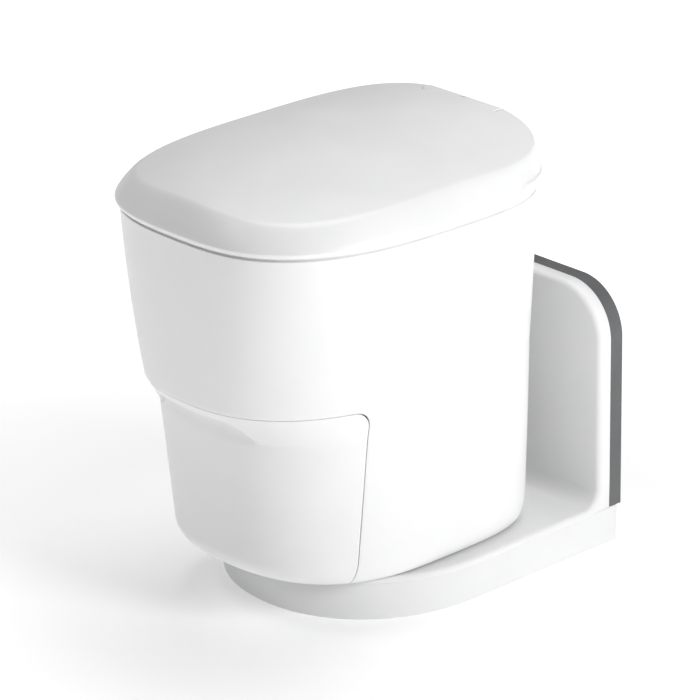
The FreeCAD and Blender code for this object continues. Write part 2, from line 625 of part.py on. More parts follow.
def button_bezel():
    at, up = V(BUTTON_X, BUTTON_Y, LEDGE_Z - 6), V(0, 0, 1)
    return tube(BUTTON_R + 0.3, BUTTON_R + 2.0, 6.8, at, up).fuse(
        tube(BUTTON_R + 0.3, BUTTON_R + 3.4, 0.8, V(at.x, at.y, LEDGE_Z), up))


def start_button():
    cap = rod(BUTTON_R, BUTTON_H, V(BUTTON_X, BUTTON_Y, LEDGE_Z - 2.8), V(0, 0, 1))
    edge = [e for e in cap.Edges if e.CenterOfMass.z > LEDGE_Z + BUTTON_H - 3.0
            and len(e.Vertexes) == 1]
    return cap.makeFillet(0.8, edge)


# ---- lid and seat -----------------------------------------------------------------------
def crown(drop):
    """Everything below the lid's top, which falls away to the sides and to the nose."""
    grid = []
    for i in range(25):
        x = -240.0 + 20.0 * i
        side = CROWN_SIDE * (x / CROWN_SIDE_X) ** 2
        row = []
        for j in range(27):
            y = -340.0 + 20.0 * j
            ahead = max(0.0, (CROWN_Y - y) / (CROWN_Y - LID_NOSE))
            row.append(V(x, y, CROWN_Z - drop - side - CROWN_NOSE * ahead ** CROWN_POWER))
        grid.append(row)
    surface = Part.BSplineSurface()
    surface.interpolate(grid)
    return surface.toShape().extrude(V(0, 0, -120))


def lid_form(inset, drop):
    """Crowned lid: an upright rim, then a side that leans in and stops at the crown."""
    wires = [lid_wire(LID_Z0 - (30 if inset else 0), inset + 0.8), lid_wire(LID_EDGE_Z, inset)]
    base = loft(wires, ruled=True)
    wires = []
    for depth in (0.0, 3.0, 8.0, 15.0, 24.0, 36.0, 54.0):
        rise = LEAN_RISE * (depth / LEAN_DEPTH) ** (1 / LEAN_POWER)
        wires.append(lid_wire(LID_EDGE_Z + rise, inset, depth))
    return fuse([base, loft(wires).common(crown(drop))])


def barrel_cut(r):
    """Room for the hinge barrel, and for everything behind it."""
    w = 2 * NOTCH_HALF
    at = V(-NOTCH_HALF, HINGE_Y, HINGE_Z)
    return fuse([rod(r, w, at, V(1, 0, 0)),
                 box(-NOTCH_HALF, NOTCH_HALF, HINGE_Y - r, HINGE_Y + 60, HINGE_Z - 60, HINGE_Z),
                 box(-NOTCH_HALF, NOTCH_HALF, HINGE_Y, HINGE_Y + 60, HINGE_Z - 1, HINGE_Z + 60)])


def under_lid():
    """Everything below the lid's lower edge."""
    return box(-300, 300, -400, 300, 400, 700).cut(deck_ramp(DECK_GAP))


def lid_shell():
    shell = lid_form(0.0, 0.0).cut(lid_form(LID_WALL, LID_WALL))
    shell = shell.cut(barrel_cut(NOTCH_R)).cut(under_lid())
    shell = shell.cut(box(-73, 73, HINGE_Y - 16, 200, 400, HINGE_Z + 5))
    shell = shell.cut(box(-82, 82, HINGE_Y - 16, HINGE_Y + 6.4, 400, HINGE_Z + 10))
    return max(shell.Solids, key=lambda solid: solid.Volume)


def eye(x0, x1, reach_y, z0, z1):
    """Hinge eye on the pin, with a web forward to the part that it carries."""
    at = V(x0, HINGE_Y, HINGE_Z)
    corners = [V(x0, reach_y, z0), V(x0, HINGE_Y + 1, HINGE_Z - EYE_R + 0.2),
               V(x0, HINGE_Y + 1, HINGE_Z + EYE_R - 0.2), V(x0, reach_y, z1)]
    web = Part.Face(Part.makePolygon(corners + corners[:1])).extrude(V(x1 - x0, 0, 0))
    ear = fuse([rod(EYE_R, x1 - x0, at, V(1, 0, 0)), web])
    return ear.cut(rod(PIN_R + RUNNING, x1 - x0, at, V(1, 0, 0)))


def lid_inner():
    """Flat inner panel of the lid, with the lid's two hinge eyes."""
    plate = loft([lid_wire(517, 30), lid_wire(520, 30)], ruled=True)
    plate = plate.cut(barrel_cut(NOTCH_R + 1)).cut(box(-72.3, 72.3, 106, 300, 400, 700))
    plate = plate.cut(box(-300, 300, 126, 300, 400, 700))
    ears = both_sides(eye(72.6, 80, 100, 517, 529))
    return fuse([plate] + ears)


def pads(places, z0, z1, r):
    return Part.makeCompound([rod(r, z1 - z0, V(x, y, z0), V(0, 0, 1)) for x, y in places])


def lid_pads():
    return pads([(-140, -200), (140, -200), (-152, 40), (152, 40)], SEAT_Z1 + 0.4, 517, 7)


def seat_pads():
    return pads([(-130, -228), (130, -228), (-148, 20), (148, 20)], BODY_TOP + 0.3, SEAT_Z0, 8)


def seat_ring():
    """Seat with a rounded rim, a dished hole and two hinge eyes."""
    wires = [seat_wire(SEAT_Z0, 2.0), seat_wire(SEAT_Z0 + 3, 0.0)]
    rise = SEAT_Z1 - SEAT_Z0 - 3
    for degrees in (25, 50, 72, 90):
        a = math.radians(degrees)
        wires.append(seat_wire(SEAT_Z0 + 3 + rise * math.sin(a), SEAT_ROUND * (1 - math.cos(a))))
    seat = loft(wires)
    hole = []
    for z, grow in ((SEAT_Z0 - 1, 0), (SEAT_Z0 + 8, 1), (SEAT_Z1 - 4, 6), (SEAT_Z1 + 1, 14)):
        hole.append(ring_wire(z, HOLE_HALF + grow, HOLE_NOSE - grow, HOLE_REAR + grow,
                              HOLE_MID, HOLE_SQUARE, HOLE_SQUARE))
    seat = seat.cut(loft(hole))
    ears = both_sides(eye(63.2, 71, 94, SEAT_Z0 + 4, SEAT_Z1 - 3))
    return fuse([seat] + ears)


# ---- bin drawer -------------------------------------------------------------------------
def scoop():
    """Arched opening under the lip, through which fingers reach up behind it."""
    a, b, z0, z1 = SCOOP_HALF_FOOT, SCOOP_HALF_TOP, SEAM_Z - BAND_H, SCOOP_Z1
    rise = Part.BezierCurve()
    rise.setPoles([V(a, -420, z0), V(a - 10, -420, z0 + 14), V(b + 22, -420, z1),
                   V(b, -420, z1)])
    fall = Part.BezierCurve()
    fall.setPoles([V(-b, -420, z1), V(-b - 22, -420, z1), V(10 - a, -420, z0 + 14),
                   V(-a, -420, z0)])
    edges = [rise, Part.LineSegment(V(b, -420, z1), V(-b, -420, z1)), fall,
             Part.LineSegment(V(-a, -420, z0), V(a, -420, z0))]
    return Part.Face(Part.Wire([e.toShape() for e in edges])).extrude(V(0, 200, 0))


def scoop_core():
    """The lower front carried straight up behind the lip."""
    low = body_wire(SEAM_Z - BAND_H, 0.0)
    return loft([low.translated(V(0, 0, -2)),
                 low.translated(V(0, 1.5, SCOOP_Z1 - SEAM_Z + BAND_H + 4))], ruled=True)


def drawer_front():
    """Outer front of the bin: foot rounding, tall face, chamfered band and lip."""
    band_z, region = SEAM_Z - BAND_H, front_region(SEAM_GAP)
    band = body_solid(0.0, band_z, SEAM_Z).common(region).cut(scoop().cut(scoop_core()))
    band = band.cut(body_solid(WALL + 16, band_z, SEAM_Z - LIP_T))
    face = body_solid(0.0, BODY_FOOT + 1, band_z).common(region)
    face = face.cut(body_solid(WALL, BODY_FOOT + WALL, band_z))
    return fuse([face, band])


def drawer_frame():
    """Carrier under the tub, fixed behind the front."""
    floor = box(-SLIDE_X0 + 5, SLIDE_X0 - 5, -215, 92, 63, 66)
    walls = both_sides(box(SLIDE_X0 - 8, SLIDE_X0 - 5, -150, 92, 66, SLIDE_Z + SLIDE_H))
    return fuse([floor] + walls).common(body_solid(WALL + 0.3, 61, 200))


def bin_slide(side):
    """Moving member of the bin's slide, fixed to the carrier."""
    bar = box(SLIDE_X0 - 5, SLIDE_X0 + 6, SPLIT_Y + 24, 88, SLIDE_Z, SLIDE_Z + SLIDE_H)
    bar = bar.cut(box(SLIDE_X0 - 6, SLIDE_X0 + 2, SPLIT_Y, 100,
                      SLIDE_Z + 4, SLIDE_Z + SLIDE_H - 4))
    return bar if side > 0 else bar.mirror(V(0, 0, 0), V(1, 0, 0))


def bin_tub():
    d, w = TUB_DRAFT, TUB_WALL
    low = rounded_plan(TUB_HALF - d, TUB_Y0 + d, TUB_Y1 - d, TUB_Z0, TUB_CORNER)
    high = rounded_plan(TUB_HALF, TUB_Y0, TUB_Y1, TUB_Z1, TUB_CORNER)
    low_in = rounded_plan(TUB_HALF - d - w, TUB_Y0 + d + w, TUB_Y1 - d - w, TUB_Z0 + w,
                          TUB_CORNER - w)
    high_in = rounded_plan(TUB_HALF - w, TUB_Y0 + w, TUB_Y1 - w, TUB_Z1, TUB_CORNER - w)
    tub = loft([low, high], ruled=True).cut(loft([low_in, high_in], ruled=True))
    lip = loft([rounded_plan(TUB_HALF + 4, TUB_Y0 - 4, TUB_Y1 + 4, z, TUB_CORNER + 4)
                for z in (TUB_Z1 - 4, TUB_Z1)], ruled=True)
    lip = lip.cut(loft([rounded_plan(TUB_HALF - w, TUB_Y0 + w, TUB_Y1 - w, z, TUB_CORNER - w)
                        for z in (TUB_Z1 - 5, TUB_Z1 + 1)], ruled=True))
    return fuse([tub, lip])


def rounded_plan(half, y0, y1, z, r):
    face = rounded_prism(-half, half, y0, y1, z, z + 1, r)
    low = [f for f in face.Faces if abs(f.CenterOfMass.z - z) < 0.01]
    return low[0].OuterWire


PARTS = {
    "plinth_skirt": plinth_skirt, "adapter_cover": adapter_cover, "wall_spacer": wall_spacer,
    "power_gland": power_gland, "floor_plate": floor_plate, "swivel_column": swivel_column,
    "bearing_glides": bearing_glides, "spigot_bush": spigot_bush,
    "swivel_stops": swivel_stops, "housing_shell": housing_shell,
    "housing_base": housing_base, "swivel_ring": swivel_ring,
    "retaining_ring": retaining_ring, "top_rim": top_rim, "rear_deck": rear_deck,
    "hinge_pin": hinge_pin, "bowl_funnel": bowl_funnel, "film_cartridge": film_cartridge,
    "film_tube": film_tube, "chute_tray": chute_tray, "cartridge_shelf": cartridge_shelf,
    "spacer_posts": spacer_posts, "guide_columns": guide_columns, "feed_motor": feed_motor,
    "feed_screw": feed_screw, "feed_frame": feed_frame, "jaw_rods": jaw_rods,
    "jaw_screw": jaw_screw, "jaw_motor": jaw_motor, "control_board": control_board,
    "board_cover": board_cover, "board_posts": board_posts,
    "limit_switches": limit_switches, "button_bezel": button_bezel,
    "start_button": start_button, "lid_shell": lid_shell, "lid_inner": lid_inner,
    "lid_pads": lid_pads, "seat_ring": seat_ring, "seat_pads": seat_pads,
    "drawer_front": drawer_front, "drawer_frame": drawer_frame, "bin_tub": bin_tub,
}
SIDED = {"hinge_block": hinge_block, "damper": damper, "side_plate": side_plate,
         "bin_runner": bin_runner, "bin_slide": bin_slide}

os.makedirs("parts", exist_ok=True)
for name, make in PARTS.items():
    save(name, make())
for name, make in SIDED.items():
    save(name + "_right", make(1))
    save(name + "_left", make(-1))
save("jaw_front", jaw(-1))
save("jaw_rear", jaw(1))
save("heater_bar", jaw_face(-1, 3.0))
save("pressure_pad", jaw_face(1, 3.5))
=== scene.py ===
import bpy
import bmesh
import json
import math
import numpy as np
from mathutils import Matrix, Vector


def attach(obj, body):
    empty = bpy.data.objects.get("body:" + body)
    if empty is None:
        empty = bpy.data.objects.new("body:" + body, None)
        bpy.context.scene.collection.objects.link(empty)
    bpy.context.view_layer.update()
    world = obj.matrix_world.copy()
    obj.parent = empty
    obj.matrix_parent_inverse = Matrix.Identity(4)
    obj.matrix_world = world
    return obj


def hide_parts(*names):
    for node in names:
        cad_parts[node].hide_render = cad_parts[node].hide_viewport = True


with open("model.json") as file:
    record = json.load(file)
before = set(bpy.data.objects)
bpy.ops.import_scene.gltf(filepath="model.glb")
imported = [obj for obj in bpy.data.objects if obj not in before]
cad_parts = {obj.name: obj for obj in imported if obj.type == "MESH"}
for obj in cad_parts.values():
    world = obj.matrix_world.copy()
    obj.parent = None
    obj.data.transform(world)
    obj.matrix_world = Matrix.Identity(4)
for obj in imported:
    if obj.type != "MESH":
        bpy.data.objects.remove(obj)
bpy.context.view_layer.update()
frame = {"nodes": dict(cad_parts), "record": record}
mm = 0.001
weldGap = 0.00002          # metres: corners nearer than this become one
sliverLength = 0.00001     # metres: shorter edges are taken out
noiseMiddle = (0.3, 0.7)   # the stretch of a noise's values that is used
print("frame loaded:", len(frame["nodes"]), "nodes")


def newMaterial(name, colour, roughness, metallic=0.0):
    mat = bpy.data.materials.new(name)
    mat.use_nodes = True
    tree = mat.node_tree
    shader = tree.nodes["Principled BSDF"]
    shader.inputs["Base Color"].default_value = (*colour, 1)
    shader.inputs["Roughness"].default_value = roughness
    shader.inputs["Metallic"].default_value = metallic
    coords = tree.nodes.new("ShaderNodeTexCoord")
    return mat, tree, shader, coords


def noiseNode(tree, coords, scale, detail=2.0, stretch=(1, 1, 1)):
    mapping = tree.nodes.new("ShaderNodeMapping")
    mapping.inputs["Scale"].default_value = stretch
    noise = tree.nodes.new("ShaderNodeTexNoise")
    noise.inputs["Scale"].default_value = scale
    noise.inputs["Detail"].default_value = detail
    tree.links.new(coords.outputs["Object"], mapping.inputs["Vector"])
    tree.links.new(mapping.outputs["Vector"], noise.inputs["Vector"])
    return noise


def spread(tree, noise, low, high):
    # maps the middle of a noise to a narrow range of values
    ranged = tree.nodes.new("ShaderNodeMapRange")
    ranged.inputs["From Min"].default_value = noiseMiddle[0]
    ranged.inputs["From Max"].default_value = noiseMiddle[1]
    ranged.inputs["To Min"].default_value = low
    ranged.inputs["To Max"].default_value = high
    tree.links.new(noise.outputs["Fac"], ranged.inputs["Value"])
    return ranged.outputs["Result"]


def tint(tree, shader, noise, dark, light):
    ramp = tree.nodes.new("ShaderNodeValToRGB")
    ramp.color_ramp.elements[0].position = noiseMiddle[0]
    ramp.color_ramp.elements[0].color = (*dark, 1)
    ramp.color_ramp.elements[1].position = noiseMiddle[1]
    ramp.color_ramp.elements[1].color = (*light, 1)
    tree.links.new(noise.outputs["Fac"], ramp.inputs["Fac"])
    tree.links.new(ramp.outputs["Color"], shader.inputs["Base Color"])


def bump(tree, shader, noise, strength, distance):
    node = tree.nodes.new("ShaderNodeBump")
    node.inputs["Strength"].default_value = strength
    node.inputs["Distance"].default_value = distance
    tree.links.new(noise.outputs["Fac"], node.inputs["Height"])
    tree.links.new(node.outputs["Normal"], shader.inputs["Normal"])


finishes = {
    # name: dark and light colour, lowest and highest roughness, grain scale, grain strength, metal
    "whiteShell": ((0.885, 0.887, 0.888), (0.905, 0.906, 0.906), 0.34, 0.44, 900, 0.05, 0),
    "whiteSeat": ((0.88, 0.882, 0.882), (0.90, 0.90, 0.899), 0.22, 0.30, 700, 0.03, 0),
    "whitePlinth": ((0.87, 0.873, 0.875), (0.895, 0.896, 0.897), 0.40, 0.52, 1100, 0.09, 0),
    "bowlGloss": ((0.80, 0.81, 0.815), (0.84, 0.845, 0.845), 0.16, 0.24, 500, 0.02, 0),
    "greySpacer": ((0.105, 0.107, 0.110), (0.145, 0.147, 0.150), 0.50, 0.66, 1300, 0.14, 0),
    "greyInner": ((0.42, 0.43, 0.44), (0.47, 0.48, 0.485), 0.42, 0.55, 900, 0.10, 0),
    "blackInner": ((0.022, 0.022, 0.024), (0.042, 0.042, 0.045), 0.38, 0.55, 800, 0.10, 0),
    "nylon": ((0.66, 0.63, 0.55), (0.74, 0.72, 0.65), 0.45, 0.60, 500, 0.08, 0),
    "softPad": ((0.60, 0.60, 0.59), (0.68, 0.68, 0.67), 0.62, 0.78, 1500, 0.16, 0),
    "redSilicone": ((0.34, 0.05, 0.03), (0.42, 0.08, 0.05), 0.50, 0.62, 1200, 0.12, 0),
    "boardGreen": ((0.012, 0.085, 0.035), (0.022, 0.13, 0.055), 0.30, 0.45, 260, 0.10, 0),
    "thinFilm": ((0.60, 0.64, 0.68), (0.70, 0.73, 0.76), 0.12, 0.26, 60, 0.35, 0),
    "zincSteel": ((0.40, 0.41, 0.42), (0.56, 0.57, 0.58), 0.30, 0.46, 120, 0.08, 1),
    "polishedRod": ((0.68, 0.69, 0.70), (0.76, 0.77, 0.78), 0.08, 0.16, 300, 0.02, 1),
    "anodised": ((0.60, 0.61, 0.62), (0.68, 0.69, 0.70), 0.30, 0.42, 700, 0.06, 1),
}


texture = {"patchScale": 14, "patchDetail": 3, "grainDetail": 2, "grainDepth": 0.00012}


def makeFinish(name):
    dark, light, smooth, rough, scale, strength, metal = finishes[name]
    mat, tree, shader, coords = newMaterial(name, light, rough, metal)
    # slow variation over the moulding, and the spark-eroded grain of the tool
    patches = noiseNode(tree, coords, texture["patchScale"], texture["patchDetail"])
    grain = noiseNode(tree, coords, scale, texture["grainDetail"])
    tint(tree, shader, patches, dark, light)
    tree.links.new(spread(tree, patches, smooth, rough), shader.inputs["Roughness"])
    bump(tree, shader, grain, strength, texture["grainDepth"])
    return mat


materials = {name: makeFinish(name) for name in finishes}
print("materials made:", len(materials))

slotFinish = {
    "white_shell": "whiteShell", "white_plinth": "whitePlinth", "dark_spacer": "greySpacer",
    "inner_plastic": "greyInner", "bowl_plastic": "bowlGloss", "black_plastic": "blackInner",
    "bearing_plastic": "nylon", "steel": "zincSteel", "bright_rod": "polishedRod",
    "alu_bar": "anodised", "soft_rubber": "softPad", "red_silicone": "redSilicone",
    "film": "thinFilm", "board_green": "boardGreen", "button_grey": "greyInner",
}


def bareObject(name, points, faces, sheet=False):
    # points are places in millimetres and faces are lists of their numbers; an open sheet keeps
    # its own facing, and anything else is closed and is made to face outwards
    mesh = bpy.data.meshes.new(name)
    mesh.from_pydata((np.asarray(points) * mm).tolist(), [], [list(f) for f in faces])
    mesh.validate()
    obj = bpy.data.objects.new(name, mesh)
    bpy.context.scene.collection.objects.link(obj)
    tidyMesh(mesh, not sheet)
    return obj


def meshPiece(name, points, faces, finish, body, hides=(), smoothAngle=50, sheet=False):
    # a piece of the finished object: it rides on a body and hides the plain parts it stands for
    obj = bareObject(name, points, faces, sheet)
    obj.data.materials.append(materials[finish])
    shadeSmooth(obj.data, smoothAngle)
    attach(obj, body)
    if hides:
        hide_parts(*hides)
    return obj


def tidyMesh(mesh, recalc=True):
    bm = bmesh.new()
    bm.from_mesh(mesh)
    bmesh.ops.remove_doubles(bm, verts=bm.verts, dist=weldGap)
    bmesh.ops.dissolve_degenerate(bm, dist=sliverLength, edges=bm.edges)
    loose = [v for v in bm.verts if not v.link_faces]
    bmesh.ops.delete(bm, geom=loose, context="VERTS")
    if recalc:
        bmesh.ops.recalc_face_normals(bm, faces=bm.faces)
    bm.to_mesh(mesh)
    bm.free()


def shadeSmooth(mesh, angle):
    mesh.polygons.foreach_set("use_smooth", np.ones(len(mesh.polygons), bool))
    mesh.set_sharp_from_angle(angle=math.radians(angle))


def gridFaces(rows, cols, closed=False, keep=None):
    # one four-sided face for each cell of a rows by cols grid of points
    r, c = np.meshgrid(np.arange(rows - 1), np.arange(cols if closed else cols - 1), indexing="ij")
    right = (c + 1) % cols
    quads = np.stack([r * cols + c, r * cols + right, (r + 1) * cols + right, (r + 1) * cols + c], -1)
    quads = quads.reshape(-1, 4)
    return quads if keep is None else quads[keep.reshape(-1)]


def applyModifiers(obj):
    deps = bpy.context.evaluated_depsgraph_get()
    fresh = bpy.data.meshes.new_from_object(obj.evaluated_get(deps))
    old = obj.data
    obj.modifiers.clear()
    obj.data = fresh
    bpy.data.meshes.remove(old)


def thicken(obj, wall, edge, angle=50, smoothAngle=50, even=True):
    # a wall inside the skin, then a small round on its edges
    shell = obj.modifiers.new("wall", "SOLIDIFY")
    shell.thickness = wall * mm
    shell.offset = -1
    shell.use_even_offset = even
    rounding(obj, edge, angle)
    applyModifiers(obj)
    shadeSmooth(obj.data, smoothAngle)


def rounding(obj, edge, angle=50, segments=2):
    bevel = obj.modifiers.new("edge", "BEVEL")
    bevel.width = edge * mm
    bevel.segments = segments
    bevel.limit_method = "ANGLE"
    bevel.angle_limit = math.radians(angle)
    bevel.harden_normals = False


def carve(obj, cutters, smoothAngle=40):
    # takes the cutters' shapes out of a closed piece
    for cutter in cutters:
        cut = obj.modifiers.new("cut", "BOOLEAN")
        cut.object = cutter
        cut.operation = "DIFFERENCE"
        cut.solver = "MANIFOLD"
        applyModifiers(obj)
        bpy.data.objects.remove(cutter)
    shadeSmooth(obj.data, smoothAngle)


def blockCutter(low, high):
    # a box between two opposite corners
    x, y, z = [np.array([a, b], float) for a, b in zip(low, high)]
    points = np.array([(i, j, k) for i in x for j in y for k in z])
    faces = [(0, 1, 3, 2), (4, 6, 7, 5), (0, 4, 5, 1), (2, 3, 7, 6), (0, 2, 6, 4), (1, 5, 7, 3)]
    return bareObject("block", points, faces)


def turned(profile, steps=96):
    # a profile of (distance along X, radius) turned about the X axis; both ends close on the axis
    along, radius = np.array(profile, float).T
    angle = np.arange(steps) * 2 * np.pi / steps
    x = along[:, None] + 0 * angle
    y = radius[:, None] * np.cos(angle)
    z = radius[:, None] * np.sin(angle)
    points = np.stack([x, y, z], -1).reshape(-1, 3)
    return points, gridFaces(len(profile), steps, closed=True)


def ease(u, power=1.45):
    # even spacing along an outline whose quarters flatten at both ends
    u = np.asarray(u, float)
    return u ** power / (u ** power + (1 - u) ** power)


def outline(angle, half, nose, rear, mid, square, rearSquare, pull=0.0):
    # four quarters of superellipses: angle 0 is the nose, a quarter turn the right side, a half
    # turn the rear; pull draws the nose inwards with the square of the cosine
    s, c = np.sin(angle), np.cos(angle)
    c = np.where(np.abs(c) < 1e-9, 0, c)
    s = np.where(np.abs(s) < 1e-9, 0, s)
    power = 2 / np.where(c >= 0, square, rearSquare)
    reach = np.where(c >= 0, mid - nose, rear - mid)
    shrink = 1 - np.where(c > 0, pull / reach * c * c, 0)
    x = half * np.sign(s) * np.abs(s) ** power * shrink
    y = mid - np.sign(c) * reach * np.abs(c) ** power * shrink
    return x, y


def mix(a, b, t):
    # a straight blend: a where t is 0, b where it is 1
    return a + (b - a) * t


def smoothStep(value, low, high):
    # 0 below low, 1 above high, an S-shaped rise between
    t = np.clip((value - low) / (high - low), 0, 1)
    return t * t * (3 - 2 * t)


def smoothMin(a, b, soft):
    # the lower of two heights, rounded over where they are within soft of each other
    h = np.clip(0.5 + 0.5 * (b - a) / soft, 0, 1)
    return mix(b, a, h) - soft * h * (1 - h)


bodyShape = {
    "mid": -50.0, "top": 487.5, "seam": 286.0, "foot": 56.0,
    # each ring: half width, nose, rear, squareness in front, squareness behind
    "topRing": (191.7, -312.3, 142.3, 2.9, 3.28),
    "seamRing": (175.1, -301.0, 149.8, 2.46, 3.28),
    "footRing": (158.0, -290.0, 146.0, 2.3, 4.2),
    "bulge": 3.0, "bandHeight": 38.0, "bandIn": 23.0, "bandSoft": 0.05, "leanIn": 8.0,
    "tuckHeight": 38.0, "tuckNose": 62.0, "tuckSide": 11.0, "tuckRear": 4.0,
    "wall": 4.0, "edge": 0.7, "rebate": 2.6, "splitY": -163.0, "splitCorner": 20.0, "seamGap": 1.2,
    "scoopFoot": 84.0, "scoopTop": 46.0, "scoopPower": 2.2, "lipUnder": 274.5, "lipEdge": 1.3,
    "closeRows": 240.0, "rebateFrom": 4.0, "rebateTo": 2.0,
}


def bandPull(z, shape=bodyShape):
    # how far the chamfered band has come in at height z, softened at its lower edge
    share = (shape["seam"] - z) / shape["bandHeight"]
    share = np.maximum(smoothMin(share, 1.0 + 0 * share, shape["bandSoft"]), 0)
    below = shape["seam"] - shape["bandHeight"]
    lean = np.clip((below - z) / (below - shape["foot"]), 0, 1)
    return shape["bandIn"] * share + shape["leanIn"] * lean


def bodyRing(z, angle, pull=None, inset=0.0):
    # the body's outline at height z: the top ring shrinks in a straight line to the seam ring and
    # on to the foot ring, with a slight swell above the seam and a rounded tuck at the foot
    b = bodyShape
    up = np.clip((z - b["seam"]) / (b["top"] - b["seam"]), 0, 1)
    down = np.clip((b["seam"] - z) / (b["seam"] - b["foot"]), 0, 1)
    half, nose, rear, square, rearSquare = [
        np.where(z >= b["seam"], mix(s, t, up), mix(s, f, down))
        for t, s, f in zip(b["topRing"], b["seamRing"], b["footRing"])]
    swell = b["bulge"] * 4 * up * (1 - up)
    half, nose = half + swell / 2, nose - swell
    pull = np.where(z < b["seam"], bandPull(z), 0) if pull is None else pull
    low = np.clip((z - b["foot"]) / b["tuckHeight"], 0, 1)
    tuck = 1 - np.sqrt(np.maximum(0, 1 - (1 - low) ** 2))
    pull = pull + (b["tuckNose"] - b["tuckSide"]) * tuck
    half = half - b["tuckSide"] * tuck - inset
    nose = nose + b["tuckSide"] * tuck + inset
    rear = rear - b["tuckRear"] * tuck - inset
    return outline(angle, half, nose, rear, b["mid"], square, rearSquare, pull)


def splitAngle(z, gap):
    # the angle at which the outline passes the side seam, found by halving
    b = bodyShape
    corner = b["splitCorner"]
    rise = np.clip(z - (b["seam"] - gap - corner), 0, corner)
    target = b["splitY"] - gap - corner + np.sqrt(corner ** 2 - rise ** 2)
    low, high = 0 * z + 0.01, 0 * z + np.pi / 2
    for _ in range(40):
        middle = (low + high) / 2
        ahead = bodyRing(z, middle)[1] < target
        low, high = np.where(ahead, middle, low), np.where(ahead, high, middle)
    return (low + high) / 2


def cornerRows(zLow, zHigh, steps):
    # rows that crowd towards the upper end, where the seam turns its corner
    return zLow + (zHigh - zLow) * np.sin(np.linspace(0, np.pi / 2, steps))


def buildHousing():
    # rows of outlines from foot to top; the part of them that the drawer fills is left out
    b = bodyShape
    seam, corner = b["seam"], b["splitCorner"]
    z = np.concatenate([
        b["foot"] + b["tuckHeight"] * (1 - np.cos(np.linspace(0, np.pi / 2, 14))),
        np.linspace(b["foot"] + b["tuckHeight"], b["closeRows"], 16)[1:],
        np.linspace(b["closeRows"], seam - corner, 10)[1:],
        cornerRows(seam - corner, seam, 14)[1:],
        np.linspace(seam, b["top"] - b["rebateFrom"] - 0.5, 40)[1:],
        np.linspace(b["top"] - b["rebateFrom"], b["top"], 9)])[:, None]
    split = splitAngle(np.minimum(z, seam), 0.0)
    front, side, rear = 34, 26, 56             # columns up to the seam, to the side, to the rear
    u = np.linspace(0, 1, front + 1)[None, :]
    frontPart = split * u ** 1.35
    u = np.linspace(0, 1, side + 1)[None, 1:]
    sidePart = split + (np.pi / 2 - split) * (1 - (1 - u) ** 1.4)
    u = np.linspace(0, 1, rear + 1)[None, 1:]
    rearPart = np.pi / 2 + np.pi / 2 * ease(u) + 0 * split
    right = np.concatenate([frontPart, sidePart, rearPart], 1)
    angle = np.concatenate([right, 2 * np.pi - right[:, -2:0:-1]], 1)
    # the wall steps in under the lid, which makes the shadow line there
    rebate = b["rebate"] * smoothStep(z, b["top"] - b["rebateFrom"], b["top"] - b["rebateTo"])
    x, y = bodyRing(z, angle, None, rebate)
    rows, cols = x.shape
    points = np.stack([x, y, z + 0 * x], -1).reshape(-1, 3)
    column = np.arange(cols)
    isFront = (column < front) | (column >= cols - front)
    keep = ~((z[:-1] < seam - 0.01) & isFront[None, :])
    obj = meshPiece("housing_skin", points, gridFaces(rows, cols, True, keep), "whiteShell",
                    "housing", ("housing_shell",), sheet=True)
    thicken(obj, b["wall"], b["edge"])
    return obj


def scoopLine(x):
    # height of the lip's lower edge: the band's foot outside the scoop, an arch within it
    b = bodyShape
    share = np.clip((b["scoopFoot"] - np.abs(x)) / (b["scoopFoot"] - b["scoopTop"]), 0, 1)
    return mix(b["seam"] - b["bandHeight"], b["lipUnder"], 1 - (1 - share) ** b["scoopPower"])


drawerShape = {
    "columns": 181, "crowding": 1.25,          # columns stand closer together in the middle
    "lipLevel": 262.0, "lipBehind": 1.5, "lipThick": 2.0, "faceBelow": 6.0, "wallLess": 0.5,
}


